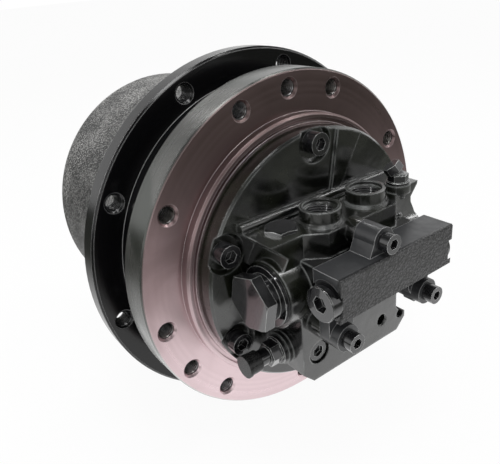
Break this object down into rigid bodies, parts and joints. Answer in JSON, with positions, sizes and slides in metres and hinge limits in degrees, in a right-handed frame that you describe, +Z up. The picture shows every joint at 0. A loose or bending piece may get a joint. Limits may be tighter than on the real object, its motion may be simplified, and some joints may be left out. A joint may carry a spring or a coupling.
{
  "type": "excavator final drive",
  "caption": "Round travel drive with a hydraulic piston motor in a flanged spindle, a valve casting with two hose ports, and a planetary hub with a sprocket flange.",
  "frame": {"origin": "centre of the frame flange's mounting face, on the drive's axis", "axes": "+Y along the drive's axis from the motor towards the hub cover, +Z up through the hose ports, +X across the ports"},
  "size_m": [0.294, 0.3106, 0.294],
  "materials": {
    "mauve_casting": "machined, satin mauve-brown finish",
    "black_paint": "gloss black paint",
    "black_casting": "black painted sand casting",
    "black_screw": "black oxide",
    "black_fitting": "gloss black",
    "black_plastic": "moulded",
    "spring_steel": "oiled",
    "gear_steel": "ground and oiled",
    "bearing_steel": "ground",
    "bronze": "turned",
    "seal_rubber": "moulded",
    "friction_lining": "sintered lining"
  },
  "bodies": {
    "casing": {"spindle_housing": "mauve_casting", "rear_cover": "black_paint", "rear_cover_screws": "black_screw", "valve_block": "black_casting", "valve_block_screws": "black_screw", "gallery_plugs": "black_fitting", "relief_springs": "spring_steel", "spool_caps": "black_fitting", "spool_springs": "spring_steel", "drain_fitting": "black_fitting", "speed_line_fitting": "black_fitting", "speed_line_cap": "black_plastic", "speed_spool_spring": "spring_steel", "seal_ring_fixed": "gear_steel", "fixed_seals": "seal_rubber", "bearing_inner_rings": "gear_steel", "bearing_nut": "gear_steel", "carrier_fixed": "gear_steel", "planet_pins_output": "gear_steel", "shaft_bearings_fixed": "gear_steel", "shaft_seal": "seal_rubber", "valve_plate": "bronze", "swash_pivot_pins": "bearing_steel", "brake_plates": "bearing_steel", "brake_springs": "spring_steel"},
    "hub": {"hub_housing": "black_casting", "ring_gear": "gear_steel", "hub_cover": "black_paint", "hub_cover_circlip": "spring_steel", "oil_plugs": "black_fitting", "thrust_pad": "bronze", "seal_ring_turning": "gear_steel", "hub_seals": "seal_rubber", "bearing_outer_rings": "gear_steel"},
    "roller_cages": {"bearing_rollers": "gear_steel"},
    "input_carrier": {"carrier_turning": "gear_steel", "planet_pins_input": "gear_steel", "sun_gear_output": "gear_steel"},
    "input_planet_a": {"planet_input_a": "gear_steel"},
    "input_planet_b": {"planet_input_b": "gear_steel"},
    "input_planet_c": {"planet_input_c": "gear_steel"},
    "output_planet_a": {"planet_output_a": "gear_steel"},
    "output_planet_b": {"planet_output_b": "gear_steel"},
    "output_planet_c": {"planet_output_c": "gear_steel"},
    "rotor": {"motor_shaft": "gear_steel", "shaft_bearing_inner": "gear_steel", "cylinder_block": "bearing_steel", "pistons": "bearing_steel", "retainer_bush": "bronze", "brake_discs": "friction_lining", "sun_gear_input": "gear_steel"},
    "shaft_cage": {"shaft_bearing_balls": "gear_steel"},
    "swash": {"swash_plate": "gear_steel"},
    "retainer": {"shoe_retainer": "bearing_steel"},
    "speed_piston": {"speed_piston": "gear_steel"},
    "brake_piston": {"brake_piston": "gear_steel"},
    "counterbalance_spool": {"counterbalance_spool": "gear_steel"},
    "speed_spool": {"speed_spool": "gear_steel"},
    "relief_poppet_left": {"relief_poppet_left": "gear_steel"},
    "relief_poppet_right": {"relief_poppet_right": "gear_steel"}
  },
  "joints": [
    {"name": "hub_spin", "type": "hinge", "parent": "casing", "child": "hub", "pos_m": [0, 0, 0], "axis": [0, 1, 0], "continuous": true},
    {"name": "roller_cage_spin", "type": "hinge", "parent": "casing", "child": "roller_cages", "pos_m": [0, 0, 0], "axis": [0, 1, 0], "continuous": true},
    {"name": "input_carrier_spin", "type": "hinge", "parent": "casing", "child": "input_carrier", "pos_m": [0, 0.16, 0], "axis": [0, 1, 0], "continuous": true},
    {"name": "input_planet_spin_a", "type": "hinge", "parent": "input_carrier", "child": "input_planet_a", "pos_m": [0, 0.17, 0.0525], "axis": [0, 1, 0], "continuous": true},
    {"name": "input_planet_spin_b", "type": "hinge", "parent": "input_carrier", "child": "input_planet_b", "pos_m": [-0.04547, 0.17, -0.02625], "axis": [0, 1, 0], "continuous": true},
    {"name": "input_planet_spin_c", "type": "hinge", "parent": "input_carrier", "child": "input_planet_c", "pos_m": [0.04547, 0.17, -0.02625], "axis": [0, 1, 0], "continuous": true},
    {"name": "output_planet_spin_a", "type": "hinge", "parent": "casing", "child": "output_planet_a", "pos_m": [0, 0.138, 0.05625], "axis": [0, 1, 0], "continuous": true},
    {"name": "output_planet_spin_b", "type": "hinge", "parent": "casing", "child": "output_planet_b", "pos_m": [-0.04871, 0.138, -0.02813], "axis": [0, 1, 0], "continuous": true},
    {"name": "output_planet_spin_c", "type": "hinge", "parent": "casing", "child": "output_planet_c", "pos_m": [0.04871, 0.138, -0.02813], "axis": [0, 1, 0], "continuous": true},
    {"name": "rotor_spin", "type": "hinge", "parent": "casing", "child": "rotor", "pos_m": [0, 0, 0], "axis": [0, 1, 0], "continuous": true, "deforming": ["pistons"]},
    {"name": "shaft_cage_spin", "type": "hinge", "parent": "casing", "child": "shaft_cage", "pos_m": [0, 0.088, 0], "axis": [0, 1, 0], "continuous": true},
    {"name": "swash_tilt", "type": "hinge", "parent": "casing", "child": "swash", "pos_m": [0, 0.074, 0], "axis": [1, 0, 0], "range_deg": [0, 6]},
    {"name": "retainer_spin", "type": "hinge", "parent": "swash", "child": "retainer", "pos_m": [0, 0.062, 0], "axis": [0, 0.9703, -0.2419], "continuous": true},
    {"name": "speed_piston_slide", "type": "slide", "parent": "casing", "child": "speed_piston", "axis": [0, -1, 0], "range_m": [0, 0.00465]},
    {"name": "brake_release", "type": "slide", "parent": "casing", "child": "brake_piston", "axis": [0, -1, 0], "range_m": [0, 0.0015], "deforming": ["brake_springs"]},
    {"name": "counterbalance_slide", "type": "slide", "parent": "casing", "child": "counterbalance_spool", "axis": [1, 0, 0], "range_m": [-0.006, 0.006], "deforming": ["spool_springs"]},
    {"name": "speed_spool_slide", "type": "slide", "parent": "casing", "child": "speed_spool", "axis": [1, 0, 0], "range_m": [0, 0.005], "deforming": ["speed_spool_spring"]},
    {"name": "relief_lift_left", "type": "slide", "parent": "casing", "child": "relief_poppet_left", "axis": [-1, 0, 0], "range_m": [0, 0.003], "deforming": ["relief_springs"]},
    {"name": "relief_lift_right", "type": "slide", "parent": "casing", "child": "relief_poppet_right", "axis": [1, 0, 0], "range_m": [0, 0.003]}
  ],
  "couplings": [
    {"joint": "roller_cage_spin", "follows": "hub_spin", "ratio": 0.5262},
    {"joint": "input_carrier_spin", "follows": "hub_spin", "ratio": -4},
    {"joint": "input_planet_spin_a", "follows": "hub_spin", "ratio": 12},
    {"joint": "input_planet_spin_b", "follows": "hub_spin", "ratio": 12},
    {"joint": "input_planet_spin_c", "follows": "hub_spin", "ratio": 12},
    {"joint": "output_planet_spin_a", "follows": "hub_spin", "ratio": 2.6667},
    {"joint": "output_planet_spin_b", "follows": "hub_spin", "ratio": 2.6667},
    {"joint": "output_planet_spin_c", "follows": "hub_spin", "ratio": 2.6667},
    {"joint": "rotor_spin", "follows": "hub_spin", "ratio": -34},
    {"joint": "shaft_cage_spin", "follows": "hub_spin", "ratio": -13.748},
    {"joint": "retainer_spin", "follows": "hub_spin", "ratio": -34},
    {"joint": "speed_piston_slide", "follows": "swash_tilt", "m_per_rad": 0.044}
  ]
}
